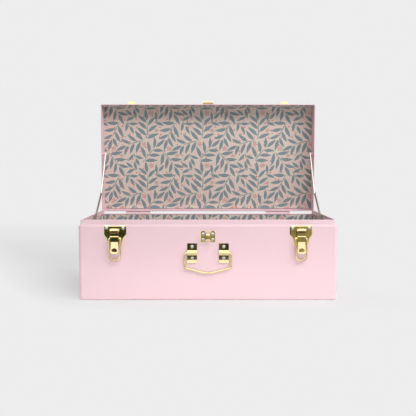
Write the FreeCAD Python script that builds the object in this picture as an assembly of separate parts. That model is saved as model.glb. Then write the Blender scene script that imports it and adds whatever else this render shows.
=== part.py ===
import FreeCAD, Part
import math
import os
from FreeCAD import Vector

# Storage trunk of painted sheet steel, with its lid open. Millimetres.
# The origin is the middle of its underside, +X is to the right of someone
# who stands before the latches, +Y is towards the back and +Z is up.
# Pieces of the lid are drawn as they lie with the lid closed, and then turned open.

# Body
body_width = 600.0
body_depth = 300.0
body_height = 187.5
sheet = 1.0
corner_radius = 8.0
bottom_radius = 4.0
bottom_flange = 3.0
shoulder_step = 4.5
shoulder_rise = 7.0
shoulder_bend = 3.0
shoulder_slope_rise = 4.0
lip_height = 9.5
rim_bead_radius = 1.3
back_drop = 10.5
pan_gap = 0.2
pan_lap = 1.8

# Lining boards
lining = 1.8
lining_gap = 0.2
lining_rim_gap = 0.5
floor_lining_inset = 2.9

# Lid
lid_height = 48.9
lid_seat_rise = 4.6
lid_bend = 11.0
lid_back_gap = 0.5
lid_hem = 6.0
lid_end_flange = 8.0
lid_lining_rim = 8.0
lid_lining_back_gap = 5.5
lid_open_angle = 90.0

# Hinges
hinge_stand_off = 6.0
hinge_end_inset = 102.2
hinge_width = 68.0
hinge_sheet = 1.6
hinge_barrel_radius = 4.4
hinge_pin_radius = 2.75
hinge_leaf_height = 24.0
hinge_leaf_top_gap = 4.0
hinge_joggle_rise = 4.0
hinge_knuckles = 5
hinge_knuckle_gap = 0.3
hinge_rivet_spacing = 24.0
hinge_rivet_drop = 16.0
hinge_pin_head = 1.2

# Rivets
rivet_radius = 3.9
rivet_height = 2.0
small_rivet_radius = 2.6
small_rivet_height = 1.3
running_gap = 0.05
side_gap = 0.2

# Draw latches
latch_end_inset = 85.0
latch_sheet = 1.2
latch_width = 52.5
latch_top_drop = 1.2
latch_straight_height = 22.0
latch_taper_height = 25.0
latch_foot_width = 33.0
latch_arch_rise = 5.0
latch_corner = 3.0
border_width = 1.8
border_fall = 0.7
least_round = 0.3
latch_rivet_spacing = 37.6
latch_rivet_drop = 6.1
latch_hood_height = 6.2
latch_hood_depth = 3.6
latch_hood_width = 20.0
ear_gap = 0.2
ear_radius = 3.5

# Lever of a draw latch
lever_width = 19.8
lever_sheet = 1.2
lever_pivot_drop = 12.6
lever_barrel_radius = 5.0
lever_barrel_gap = 0.4
lever_pin_radius = 1.5
lever_pin_head_radius = 2.4
lever_pin_head = 0.5
lever_barrel_top_angle = 100.0
lever_barrel_low_angle = -40.0
lever_barrel_lap_angle = 8.0
lever_recess = 3.0
lever_recess_bend = 0.6
lever_valley_top_drop = 5.9
lever_valley_top_bend = 2.0
lever_ridge_drop = 14.1
lever_ridge_half_height = 1.7
lever_ridge_bend = 1.5
lever_groove_height = 1.4
lever_groove_depth = 0.7
lever_waist_low_drop = 26.0
lever_cheek_drop = 22.5
lever_bill_drop = 39.5
lever_bill_out = -0.2
lever_bill_bend = 6.0
lever_tip_drop = 52.6
lever_tip_out = 2.8
lever_bill_neck_width = 16.4
lever_flare_drop = 41.0
lever_swell_drop = 47.4
lever_bill_width = 19.4
lever_swell_bend = 2.0
lever_tip_width = 13.0
lever_tip_bend = 4.5
bill_dish_drop = 46.8
bill_dish_radius = 6.9
bill_dish_lower_radius = 12.0
bill_dish_depth = 0.5
bill_pad = 2.4
bill_pad_border = 1.3
lever_cheek_depth = 7.0

# Wire bail of a draw latch
bail_wire = 3.8
bail_width = 29.4
bail_length = 51.85
bail_pivot_drop = 18.2
bail_pivot_in = 1.0
bail_shoulder_drop = 5.5
bail_neck = 2.9
bail_neck_bend = 2.4
bail_bend = 3.4
bail_hole_gap = 0.08

# Keepers on the lid
keeper_sheet = 1.8
keeper_width = 50.0
keeper_height = 28.0
keeper_lift = 3.0
keeper_hook_width = 17.6
keeper_hook_gap = 0.3
keeper_hook_flare = 3.6
keeper_hook_flare_rise = 3.6
keeper_hook_bend = 1.6
keeper_hook_round = 5.0
keeper_hook_height = 9.0
keeper_crotch_gap = 2.6
keeper_rivet_spacing = 37.0

# Centre hasp on the lid and its staple on the body
hasp_width = 29.3
hasp_sheet = 1.5
hasp_pin_radius = 2.0
hasp_axis_out = 5.0
hasp_axis_lift = 4.6
hasp_base_height = 20.0
hasp_base_gap = 3.2
hasp_leaf_length = 44.0
hasp_leaf_corner = 4.0
hasp_knuckles = 3
hasp_rivet_spacing = 17.0
hasp_rivet_lift = 14.5
hasp_slot_gap = 0.7
staple_drop = 39.5
staple_height = 18.6
staple_width = 8.4
staple_sheet = 1.8
staple_reach = 13.0
staple_bend = 6.0
staple_plate_width = 35.8
staple_plate_height = 27.2
staple_plate_sheet = 1.2
staple_plate_corner = 2.5
staple_waist_width = 9.6
staple_waist_height = 19.4
staple_rivet_spacing_x = 21.6
staple_rivet_spacing_z = 13.0

# Carrying handle
handle_spacing = 73.4
handle_strap_width = 22.6
handle_strap_sheet = 1.5
handle_drop = 76.2
handle_strap_rise = 21.8
handle_strap_fall = 23.7
handle_lip_height = 7.0
handle_lip_out = 1.3
handle_lip_bend = 4.0
handle_axis_out = 3.0
handle_wire_radius = 2.2
handle_wire_gap = 0.3
handle_root_bend = 2.0
handle_width = 107.0
handle_shoulder_bend = 6.0
handle_corner_fall = 35.3
handle_corner_bend = 7.0
handle_low_fall = 49.7
handle_low_bend = 60.0
handle_end_inset = 1.2
handle_rivet_rise = 14.1
handle_rivet_fall = 12.7

# Lid stays: two equal links on each side, folded level when the lid is closed
stay_slack = 2.37
stay_link_width = 12.0
stay_link_sheet = 1.5
stay_link_gap = 0.3
stay_plane_inset = 7.9
stay_body_pivot_reach = 164.0
stay_body_pivot_drop = 13.0
stay_lid_pivot_reach = 168.0
stay_lid_pivot_rise = 16.0
stay_post_radius = 4.0
stay_pin_radius = 2.5
stay_head_radius = 4.5
stay_head = 1.5
stay_knee_head = 0.5

# Values used by all pieces
overrun = 5.0
same_point = 0.000001
least_turn_share = 0.01

# Places that follow from the sizes above
half_width = body_width / 2
half_depth = body_depth / 2
front_y = -half_depth
shoulder_top = body_height - lip_height
shoulder_base = shoulder_top - shoulder_rise
back_top = body_height - back_drop
lid_rim_z = shoulder_base + lid_seat_rise
lid_top_z = lid_rim_z + lid_height
lid_back_rim_z = back_top + lid_back_gap
hinge_y = half_depth + hinge_stand_off
hinge_z = back_top
latch_top = lid_rim_z - latch_top_drop
lever_pivot_z = latch_top - lever_pivot_drop + latch_top_drop
lever_pivot_out = latch_sheet + lever_barrel_gap + lever_barrel_radius
bail_pivot_z = lever_pivot_z - bail_pivot_drop
bail_pivot_out = lever_pivot_out - bail_pivot_in
bail_radius = bail_wire / 2
bail_leg_x = (bail_width - bail_wire) / 2
ear_x = lever_width / 2 - lever_sheet - ear_gap - latch_sheet
hinge_x = half_width - hinge_end_inset
latch_x = half_width - latch_end_inset
staple_z = body_height - staple_drop
hasp_axis_z = lid_rim_z + hasp_axis_lift
handle_axis_z = body_height - handle_drop
stay_body_pivot_y = hinge_y - stay_body_pivot_reach
stay_body_pivot_z = hinge_z - stay_body_pivot_drop
stay_lid_pivot_y = hinge_y - stay_lid_pivot_reach
stay_lid_pivot_z = hinge_z + stay_lid_pivot_rise
stay_span_y = stay_lid_pivot_rise + stay_body_pivot_reach
stay_span_z = stay_lid_pivot_reach + stay_body_pivot_drop
stay_link = math.hypot(stay_span_y, stay_span_z) / 2 + stay_slack


def fused(shapes):
    """One solid of shapes that meet or overlap."""
    whole = shapes[0]
    for shape in shapes[1:]:
        whole = whole.fuse(shape)
    return whole.removeSplitter()


def block(low, high):
    """A box between two opposite corners."""
    size = high - low
    return Part.makeBox(size.x, size.y, size.z, low)


def cylinder(start, end, radius):
    """A round bar between two points."""
    along = end - start
    return Part.makeCylinder(radius, along.Length, start, along)


def bent_wire(corners, place, closed):
    """A wire through corners (a, b, bend radius), with a tangent arc at each bend."""
    edges = []
    ends = []
    last = len(corners) - 1
    for i, (a, b, radius) in enumerate(corners):
        corner = Vector(a, b, 0)
        if radius <= 0 or (not closed and i in (0, last)):
            ends.append((corner, corner, corner))
            continue
        before = Vector(*corners[i - 1][:2], 0) - corner
        after = Vector(*corners[(i + 1) % len(corners)][:2], 0) - corner
        before.normalize()
        after.normalize()
        if abs(before.x * after.y - before.y * after.x) < least_turn_share:
            ends.append((corner, corner, corner))
            continue
        half_angle = before.getAngle(after) / 2
        inwards = before + after
        inwards.normalize()
        reach = radius / math.tan(half_angle)
        middle = corner + inwards * (radius / math.sin(half_angle) - radius)
        ends.append((corner + before * reach, middle, corner + after * reach))
    for i, (start, middle, end) in enumerate(ends):
        if start.distanceToPoint(end) > same_point:
            edges.append(Part.Arc(place(start), place(middle), place(end)).toShape())
        if i == last and not closed:
            break
        following = ends[(i + 1) % len(ends)][0]
        if end.distanceToPoint(following) > same_point:
            edges.append(Part.LineSegment(place(end), place(following)).toShape())
    return Part.Wire(edges)


def outline(corners, place):
    """A flat face inside rounded corners."""
    return Part.Face(bent_wire(corners, place, True))


def sheet_section(path, thickness, place):
    """The section of a bent sheet, thickness to the left of its path (negative: right)."""
    far = []
    for i, (a, b, radius) in enumerate(path):
        here = Vector(a, b, 0)
        normals = []
        for start, end in ((i - 1, i), (i, i + 1)):
            if start >= 0 and end < len(path):
                along = Vector(*path[end][:2], 0) - Vector(*path[start][:2], 0)
                along.normalize()
                normals.append(Vector(-along.y, along.x, 0))
        first = normals[0]
        second = normals[-1]
        shift = (first + second) * (thickness / (1 + first.dot(second)))
        turn = first.x * second.y - first.y * second.x
        bend = radius - math.copysign(thickness, thickness * turn) if turn else 0
        if radius > 0:
            far.append((here.x + shift.x, here.y + shift.y, max(bend, 0)))
        else:
            far.append((here.x + shift.x, here.y + shift.y, 0))
    return outline(path + far[::-1], place)


def across(x):
    """Places section points (y, z) in the plane at x."""
    return lambda p: Vector(x, p.x, p.y)


def facing(y):
    """Places outline points (x, z) in the plane at y."""
    return lambda p: Vector(p.x, y, p.y)


def outwards(x):
    """Places section points (distance out from the body's front face, z) at x."""
    return lambda p: Vector(x, front_y - p.x, p.y)


def front_plate(corners, thickness, out=0.0):
    """A flat plate lying on the front face, from its outline in x and z."""
    return outline(corners, facing(front_y - out)).extrude(Vector(0, -thickness, 0))


def inset(corners, distance):
    """The corners of a clockwise outline moved inwards, with their bends kept round."""
    moved = []
    for i, (a, b, radius) in enumerate(corners):
        here = Vector(a, b, 0)
        before = here - Vector(*corners[i - 1][:2], 0)
        after = Vector(*corners[(i + 1) % len(corners)][:2], 0) - here
        before.normalize()
        after.normalize()
        first = Vector(before.y, -before.x, 0)
        second = Vector(after.y, -after.x, 0)
        place = here + (first + second) * (distance / (1 + first.dot(second)))
        turn = before.x * after.y - before.y * after.x
        bend = max(radius + math.copysign(distance, turn), least_round) if radius > 0 else 0
        moved.append((place.x, place.y, bend))
    return moved


def bordered_plate(corners, thickness):
    """A flat plate on the front face whose border slopes back all round."""
    base = front_plate(corners, thickness - border_fall)
    outer = bent_wire(corners, facing(front_y - thickness + border_fall), True)
    inner = bent_wire(inset(corners, border_width), facing(front_y - thickness), True)
    return fused([base, Part.makeLoft([outer, inner], True, True)])


def strip(path, thickness, width):
    """A bent strip of sheet standing out from the front, centred on x = 0."""
    return sheet_section(path, thickness, outwards(-width / 2)).extrude(Vector(width, 0, 0))


def tube(corners, place, radius):
    """Round wire bent along a path in one plane."""
    pieces = []
    for edge in bent_wire(corners, place, False).Edges:
        start = edge.valueAt(edge.FirstParameter)
        along = edge.tangentAt(edge.FirstParameter)
        disc = Part.Face(Part.Wire(Part.makeCircle(radius, start, along)))
        if isinstance(edge.Curve, Part.Line):
            pieces.append(disc.extrude(edge.valueAt(edge.LastParameter) - start))
        else:
            turn = math.degrees(edge.LastParameter - edge.FirstParameter)
            pieces.append(disc.revolve(edge.Curve.Center, edge.Curve.Axis, turn))
    return fused(pieces)


def dome(base, direction, radius, height):
    """The domed head of a rivet."""
    ball = (radius * radius + height * height) / (2 * height)
    head = Part.makeSphere(ball, base + direction * (height - ball), direction)
    keep = Part.makeCylinder(radius + overrun, height + overrun, base, direction)
    return head.common(keep)


def opened(shape):
    """Turns a piece of the lid from its closed place to its open one."""
    return shape.rotated(Vector(0, hinge_y, hinge_z), Vector(1, 0, 0), -lid_open_angle)


def moved_x(shape, distance):
    """A copy moved along x."""
    return shape.translated(Vector(distance, 0, 0))


def mirrored_x(shape):
    """The same piece on the other side."""
    return shape.mirror(Vector(0, 0, 0), Vector(1, 0, 0))


def save(name, shapes):
    """Writes one node; several solids that belong together stay separate solids."""
    solids = shapes if isinstance(shapes, list) else [shapes]
    solids = [solid for shape in solids for solid in shape.Solids]
    result = solids[0] if len(solids) == 1 else Part.makeCompound(solids)
    if not result.isValid():
        print("not valid:", name)
    result.exportStep("parts/" + name + ".step")
    nodes.append(name)


# The names of the nodes, as they are written
nodes = []
os.makedirs("parts", exist_ok=True)


# Body walls. Each wall is drawn along x with its outer face at y = 0, and d runs inwards.

def wall_section(top, step):
    """The section of a wall (d, z): rolled bottom edge, shoulder if any, lip and rolled rim."""
    slope_inset = (shoulder_rise - shoulder_slope_rise) / 2
    path = [(bottom_radius + bottom_flange, 0, 0), (0, 0, bottom_radius)]
    if step > 0:
        path.append((0, shoulder_base + slope_inset, shoulder_bend))
        path.append((step, shoulder_top - slope_inset, shoulder_bend))
    path.append((step, top - rim_bead_radius, 0))
    section = sheet_section(path, -sheet, across(0))
    centre = Vector(0, step + rim_bead_radius, top - rim_bead_radius)
    ring = Part.makeCircle(rim_bead_radius, centre, Vector(1, 0, 0))
    return section.fuse(Part.Face(Part.Wire(ring))).removeSplitter()


def board_section(bottom, top):
    """The section (d, z) of a lining board that lies against a wall."""
    inner = sheet + lining
    return outline([(sheet, bottom, 0), (inner, bottom, 0), (inner, top, 0), (sheet, top, 0)], across(0))


def straight(section, length):
    """A section drawn out along x, centred on x = 0."""
    return moved_x(fused(section.extrude(Vector(length, 0, 0)).Solids), -length / 2)


def corner(section, length, side):
    """A section turned through the rounded corner at one end of a wall."""
    start = Vector(side * length / 2, 0, 0)
    centre = start + Vector(0, corner_radius, 0)
    return section.translated(start).revolve(centre, Vector(0, 0, side), 90)


def placed(shape, turns):
    """Turns a wall from the front round to another side: 1 right, 2 back, 3 left."""
    front = Vector(0, -half_depth, 0)
    right = Vector(half_width, 0, 0)
    outer = [front, right, -front, -right]
    return shape.rotated(Vector(0, 0, 0), Vector(0, 0, 1), 90 * turns).translated(outer[turns])


front_run = body_width - 2 * corner_radius
end_run = body_depth - 2 * corner_radius
lipped = wall_section(body_height, shoulder_step)
low_wall = wall_section(back_top, 0.0)


def rounded_plate(inset, bottom, thickness, radius):
    """A level plate with rounded corners, inset from the body's outer faces."""
    x = half_width - inset
    y = half_depth - inset
    corners = [(-x, -y, radius), (x, -y, radius), (x, y, radius), (-x, y, radius)]
    return outline(corners, lambda p: Vector(p.x, p.y, bottom)).extrude(Vector(0, 0, thickness))


def make_body():
    corners = [corner(lipped, front_run, side) for side in (-1, 1)]
    save("body_front", placed(fused([straight(lipped, front_run)] + corners), 0))
    save("body_back", placed(fused([straight(low_wall, front_run)] + corners), 2))
    save("body_end_right", placed(straight(lipped, end_run), 1))
    save("body_end_left", placed(straight(lipped, end_run), 3))
    pan_inset = bottom_radius + bottom_flange + pan_gap
    ledge_inset = bottom_radius + pan_gap
    corner_round = corner_radius - ledge_inset
    pan = rounded_plate(pan_inset, 0, 2 * sheet, sheet)
    ledge = rounded_plate(ledge_inset, sheet, sheet, corner_round)
    well = rounded_plate(pan_inset + pan_lap, sheet, sheet, sheet)
    save("body_floor", fused([pan, ledge]).cut(well))


def make_body_lining():
    bottom = 2 * sheet + lining + lining_gap
    low_top = shoulder_base - lining_rim_gap
    back_board_top = back_top - 2 * rim_bead_radius - lining_rim_gap
    board = board_section(bottom, low_top)
    back_board = board_section(bottom, back_board_top)
    save("lining_front", placed(straight(board, front_run), 0))
    save("lining_back", placed(straight(back_board, front_run), 2))
    start = Vector(half_width - stay_plane_inset, stay_body_pivot_y, stay_body_pivot_z)
    drill = cylinder(start, start + Vector(stay_plane_inset, 0, 0), stay_post_radius + stay_link_gap)
    end_board = fused([straight(board, end_run)] + [corner(board, end_run, side) for side in (-1, 1)])
    right = placed(end_board, 1).cut(drill)
    save("lining_right", right)
    save("lining_left", mirrored_x(right))
    floor = rounded_plate(floor_lining_inset, 2 * sheet, lining, corner_radius - floor_lining_inset)
    save("lining_floor", floor)


# Lid

def lid_path(inset, front_bottom, back_bottom):
    """The lid's section (y, z) from its front rim over the top to its back rim."""
    y = half_depth - inset
    z = lid_top_z - inset
    bend = lid_bend - inset
    return [(-y, front_bottom, 0), (-y, z, bend), (y, z, bend), (y, back_bottom, 0)]


def make_lid():
    inner = half_width - sheet
    rims = (lid_rim_z, lid_back_rim_z)
    shell = sheet_section(lid_path(0, *rims), -sheet, across(-inner)).extrude(Vector(2 * inner, 0, 0))
    hems = []
    for side, rim in ((-1, lid_rim_z), (1, lid_back_rim_z)):
        far = side * (half_depth - sheet)
        near = side * (half_depth - 2 * sheet)
        low = Vector(-inner, min(far, near), rim)
        hems.append(block(low, Vector(inner, max(far, near), rim + lid_hem)))
    save("lid_shell", opened(fused([shell] + hems)))
    plate = outline(lid_path(0, *rims), across(inner)).extrude(Vector(sheet, 0, 0))
    # The end panel's flange lies under the shell, from the hem on the front to that on the back.
    flange_path = lid_path(sheet, lid_rim_z + lid_hem + lining_gap, lid_back_rim_z + lid_hem + lining_gap)
    flange = sheet_section(flange_path, -sheet, across(inner - lid_end_flange))
    flange = flange.extrude(Vector(lid_end_flange, 0, 0))
    hem_y = half_depth - 2 * sheet - lining_gap
    hem_low = Vector(inner - sheet, -hem_y, lid_rim_z)
    hem = block(hem_low, Vector(inner, hem_y, lid_rim_z + lid_hem))
    right = fused([plate, flange, hem])
    save("lid_end_right", opened(right))
    save("lid_end_left", opened(mirrored_x(right)))
    # The board is bent over the front corner and ends half-way round the back one.
    back_end = lid_top_z - lid_bend
    board_path = lid_path(2 * sheet, lid_rim_z + lid_lining_rim, back_end)
    board = sheet_section(board_path, -lining, across(-inner + lining_gap))
    board = board.extrude(Vector(2 * (inner - lining_gap), 0, 0))
    spare_low = Vector(-half_width, half_depth - lid_lining_back_gap, back_end - overrun)
    spare = block(spare_low, Vector(half_width, half_depth, lid_top_z))
    save("lid_lining", opened(board.cut(spare)))


# Hinges

def hinge_leaf(up):
    """One leaf with its knuckles round the pin, for the body (up -1) or the lid (up 1)."""
    axis = Vector(0, hinge_y, hinge_z)
    face = half_depth
    near = hinge_z + up * hinge_leaf_top_gap
    bend_z = near + up * hinge_joggle_rise
    far = hinge_z + up * (hinge_leaf_top_gap + hinge_leaf_height)
    barrel_face = hinge_y - hinge_barrel_radius
    path = [(face, far, 0), (face, bend_z, hinge_sheet),
            (barrel_face, near, hinge_sheet), (barrel_face, hinge_z, 0)]
    count = hinge_knuckles
    pitch = hinge_width / count
    leaf = sheet_section(path, up * hinge_sheet, across(-hinge_width / 2)).extrude(Vector(hinge_width, 0, 0))
    pieces = []
    gaps = []
    for i in range(count):
        start = -hinge_width / 2 + i * pitch
        mine = (i % 2 == 0) == (up < 0)
        margin = hinge_knuckle_gap / 2 if mine else -hinge_knuckle_gap / 2
        low = Vector(start + margin, hinge_y, hinge_z)
        high = Vector(start + pitch - margin, hinge_y, hinge_z)
        if mine:
            pieces.append(cylinder(low, high, hinge_barrel_radius))
        else:
            gaps.append(cylinder(low, high, hinge_barrel_radius + hinge_knuckle_gap))
    reach = Vector(hinge_width, 0, 0)
    bore = cylinder(axis - reach, axis + reach, hinge_pin_radius + running_gap)
    leaf = leaf.cut(Part.makeCompound(gaps))
    return fused([leaf] + pieces).cut(bore)


def hinge_rivets(up):
    """Three heads on a hinge leaf."""
    heads = []
    for i in (-1, 0, 1):
        base = Vector(i * hinge_rivet_spacing, half_depth + hinge_sheet, hinge_z + up * hinge_rivet_drop)
        heads.append(dome(base, Vector(0, 1, 0), small_rivet_radius, small_rivet_height))
    return heads


def make_hinges():
    start = Vector(-hinge_width / 2 - hinge_knuckle_gap, hinge_y, hinge_z)
    end = Vector(hinge_width / 2 + hinge_knuckle_gap, hinge_y, hinge_z)
    cap = Vector(hinge_pin_head, 0, 0)
    pin = fused([cylinder(start, end, hinge_pin_radius),
                 cylinder(start - cap, start, hinge_barrel_radius),
                 cylinder(end, end + cap, hinge_barrel_radius)])
    body_heads = []
    lid_heads = []
    for name, x in (("left", -hinge_x), ("right", hinge_x)):
        save("hinge_body_leaf_" + name, moved_x(hinge_leaf(-1), x))
        save("hinge_lid_leaf_" + name, opened(moved_x(hinge_leaf(1), x)))
        save("hinge_pin_" + name, moved_x(pin, x))
        body_heads += [moved_x(head, x) for head in hinge_rivets(-1)]
        lid_heads += [opened(moved_x(head, x)) for head in hinge_rivets(1)]
    save("hinge_body_rivets", body_heads)
    save("hinge_lid_rivets", lid_heads)


# Draw latches

def latch_plate():
    """Shield-shaped plate with two pointed feet, a hood above the lever and the pin's ears."""
    half = latch_width / 2
    foot = latch_foot_width / 2
    side_z = latch_top - latch_straight_height
    foot_z = side_z - latch_taper_height
    waist = (half + 2 * foot) / 3
    waist_z = (side_z + side_z + foot_z) / 3
    right = [(half, latch_top, latch_corner), (half, side_z, latch_corner),
             (waist, waist_z, latch_corner), (foot, foot_z, 0)]
    left = [(-x, z, radius) for x, z, radius in right[::-1]]
    arch = (0, foot_z + latch_arch_rise, foot)
    plate = bordered_plate(right + [arch] + left, latch_sheet)
    hood_out = latch_sheet + latch_hood_depth
    hood_low = latch_top - latch_hood_height
    hood_bend = latch_hood_depth / 2
    hood_path = [(0, latch_top, 0), (hood_out, latch_top, hood_bend), (hood_out, hood_low, 0)]
    hood = strip(hood_path, -latch_sheet, latch_hood_width)
    root = lever_pivot_z - ear_radius
    crown = lever_pivot_z + ear_radius
    reach = lever_pivot_out + ear_radius
    ear_corners = [(latch_sheet, root, 0), (reach, root, ear_radius),
                   (reach, crown, ear_radius), (latch_sheet, crown, 0)]
    ears = []
    for x in (-ear_x - latch_sheet, ear_x):
        ears.append(outline(ear_corners, outwards(x)).extrude(Vector(latch_sheet, 0, 0)))
    y = front_y - lever_pivot_out
    reach_x = Vector(lever_width, 0, 0)
    centre = Vector(0, y, lever_pivot_z)
    bore = cylinder(centre - reach_x, centre + reach_x, lever_pin_radius + running_gap)
    return fused([plate, hood] + ears).cut(bore)


def lever_pin():
    """The lever's pin with a flat head at each end."""
    centre = Vector(0, front_y - lever_pivot_out, lever_pivot_z)
    end = Vector(lever_width / 2 + side_gap, 0, 0)
    cap = Vector(lever_pin_head, 0, 0)
    return fused([cylinder(centre - end, centre + end, lever_pin_radius),
                  cylinder(centre - end - cap, centre - end, lever_pin_head_radius),
                  cylinder(centre + end, centre + end + cap, lever_pin_head_radius)])


def lever_front(drop, out):
    """A point of the lever's face: below its pivot, and out from the barrel's front."""
    return (lever_pivot_out + lever_barrel_radius + out, lever_pivot_z - drop)


def lever_parts():
    """The tongue that curls over the pin between the ears, and the path of the strap below."""
    tongue = ear_x - ear_gap
    low = math.radians(lever_barrel_low_angle)
    high = math.radians(lever_barrel_top_angle)
    lap = low - math.radians(lever_barrel_lap_angle)
    middle = (lap + high) / 2
    rim = []
    for radius in (lever_barrel_radius, lever_barrel_radius - lever_sheet):
        ring = []
        for angle in (high, middle, lap):
            out = lever_pivot_out + radius * math.cos(angle)
            ring.append(outwards(-tongue)(Vector(out, lever_pivot_z + radius * math.sin(angle), 0)))
        rim.append(ring)
    barrel = Part.Face(Part.Wire([
        Part.Arc(*rim[0]).toShape(), Part.LineSegment(rim[0][2], rim[1][2]).toShape(),
        Part.Arc(*rim[1]).toShape(), Part.LineSegment(rim[1][0], rim[0][0]).toShape()]))
    start_out = lever_pivot_out + lever_barrel_radius * math.cos(low)
    start_z = lever_pivot_z + lever_barrel_radius * math.sin(low)
    rise = lever_ridge_half_height
    path = [
        (start_out, start_z, 0),
        (*lever_front(lever_valley_top_drop, -lever_recess), lever_valley_top_bend),
        (*lever_front(lever_ridge_drop - rise, -lever_recess), lever_recess_bend),
        (*lever_front(lever_ridge_drop, rise - lever_recess), lever_ridge_bend),
        (*lever_front(lever_ridge_drop + rise, -lever_recess), lever_recess_bend),
        (*lever_front(lever_waist_low_drop, -lever_recess), lever_bill_bend),
        (*lever_front(lever_bill_drop, lever_bill_out), 0),
        (*lever_front(lever_tip_drop, lever_tip_out), 0),
    ]
    return barrel.extrude(Vector(2 * tongue, 0, 0)), path


def lever():
    """The draw lever: a bent strap with two cheeks, and a dished bill at its end."""
    half = lever_width / 2
    tongue, path = lever_parts()
    strap = strip(path, -lever_sheet, lever_width)
    # The bill narrows at its neck, flares beside its dish and ends round, seen from the front.
    neck_z = lever_pivot_z - lever_cheek_drop
    flare_z = lever_pivot_z - lever_flare_drop
    swell_z = lever_pivot_z - lever_swell_drop
    tip_z = lever_pivot_z - lever_tip_drop
    neck = lever_bill_neck_width / 2
    swell = lever_bill_width / 2
    tip = lever_tip_width / 2
    top_z = lever_pivot_z + lever_barrel_radius + overrun
    right = [(half, top_z, 0), (half, neck_z, latch_corner), (neck, neck_z - latch_corner, latch_corner),
             (neck, flare_z, latch_corner), (swell, swell_z, lever_swell_bend),
             (tip, tip_z, lever_tip_bend)]
    left = [(-x, z, radius) for x, z, radius in right[::-1]]
    reach = lever_pivot_out + lever_barrel_radius + lever_tip_out + overrun
    trim = front_plate(right + left, reach)
    strap = strap.common(trim)
    inner_out = lever_pivot_out - lever_barrel_radius
    waist_point = (*lever_front(lever_cheek_drop, -lever_recess), 0)
    back_low = (waist_point[0] - lever_cheek_depth, waist_point[1], latch_corner)
    back_high = (inner_out + latch_corner, lever_pivot_z - lever_barrel_radius, 0)
    pivot_point = (lever_pivot_out, lever_pivot_z, 0)
    cheek_corners = [pivot_point] + path[:5] + [waist_point, back_low, back_high]
    cheeks = []
    for x in (-half, half - lever_sheet):
        plate = outline(cheek_corners, outwards(x)).extrude(Vector(lever_sheet, 0, 0))
        start = Vector(x, front_y - lever_pivot_out, lever_pivot_z)
        disc = cylinder(start, start + Vector(lever_sheet, 0, 0), lever_barrel_radius)
        cheeks += [plate, disc]
    pivot = Vector(0, front_y - lever_pivot_out, lever_pivot_z)
    wire_pivot = Vector(0, front_y - bail_pivot_out, bail_pivot_z)
    reach_x = Vector(lever_width, 0, 0)
    bores = [cylinder(pivot - reach_x, pivot + reach_x, lever_pin_radius + running_gap),
             cylinder(wire_pivot - reach_x, wire_pivot + reach_x, bail_radius + bail_hole_gap)]
    groove_y = front_y - lever_pivot_out - lever_barrel_radius
    groove_low = Vector(-ear_x, groove_y, lever_pivot_z - lever_groove_height / 2)
    groove_high = groove_low + Vector(2 * ear_x, lever_groove_depth, lever_groove_height)
    whole = fused([strap, tongue] + cheeks + [bill_pad_solid()])
    return whole.cut(Part.makeCompound(bores + [block(groove_low, groove_high)])).cut(bill_dish())


def bill_outline(radius, lower_radius):
    """The half moon of the bill's dish, from an arc above and a flatter one below."""
    centre_z = lever_pivot_z - bill_dish_drop
    width = radius
    sag = lower_radius - math.sqrt(lower_radius * lower_radius - width * width)
    left = Vector(-width, front_y, centre_z)
    right = Vector(width, front_y, centre_z)
    top = Vector(0, front_y, centre_z + radius)
    bottom = Vector(0, front_y, centre_z - sag)
    upper = Part.Arc(left, top, right).toShape()
    lower = Part.Arc(right, bottom, left).toShape()
    return Part.Face(Part.Wire([upper, lower]))


def bill_direction():
    """The upper and lower ends of the bill's face in section."""
    return lever_front(lever_bill_drop, lever_bill_out), lever_front(lever_tip_drop, lever_tip_out)


def bill_pad_solid():
    """The doubled metal behind the dish, inside the bill's own outline."""
    start, end = bill_direction()
    inner = lever_sheet
    path = [(start[0] - inner, start[1], 0), (end[0] - inner, end[1], 0)]
    slab = sheet_section(path, -bill_pad, outwards(-bill_dish_radius - bill_pad_border))
    slab = slab.extrude(Vector(2 * (bill_dish_radius + bill_pad_border), 0, 0))
    shape = bill_outline(bill_dish_radius + bill_pad_border, bill_dish_lower_radius + bill_pad_border)
    reach = lever_pivot_out + lever_barrel_radius + lever_tip_out + overrun
    return slab.common(shape.extrude(Vector(0, -reach, 0)))


def bill_dish():
    """The hollow in the bill that a finger pulls. Its floor is upright, and deepest at its foot."""
    reach = lever_pivot_out + lever_barrel_radius + lever_tip_out + overrun
    floor_out = bill_direction()[0][0] - bill_dish_depth
    shape = bill_outline(bill_dish_radius, bill_dish_lower_radius)
    return shape.translated(Vector(0, -floor_out, 0)).extrude(Vector(0, -reach, 0))


def bail():
    """The wire bail, hanging from the lever's cheeks."""
    shoulder_z = bail_pivot_z - bail_shoulder_drop
    neck_x = lever_width / 2 + bail_neck
    end_x = lever_width / 2 - lever_sheet - side_gap
    low_z = bail_pivot_z - bail_length
    right = [(end_x, bail_pivot_z, 0), (neck_x, bail_pivot_z, bail_neck_bend),
             (bail_leg_x, shoulder_z, bail_bend), (bail_leg_x, low_z, bail_leg_x)]
    left = [(-x, z, radius) for x, z, radius in right[::-1]]
    return tube(right + left, facing(front_y - bail_pivot_out), bail_radius)


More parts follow.
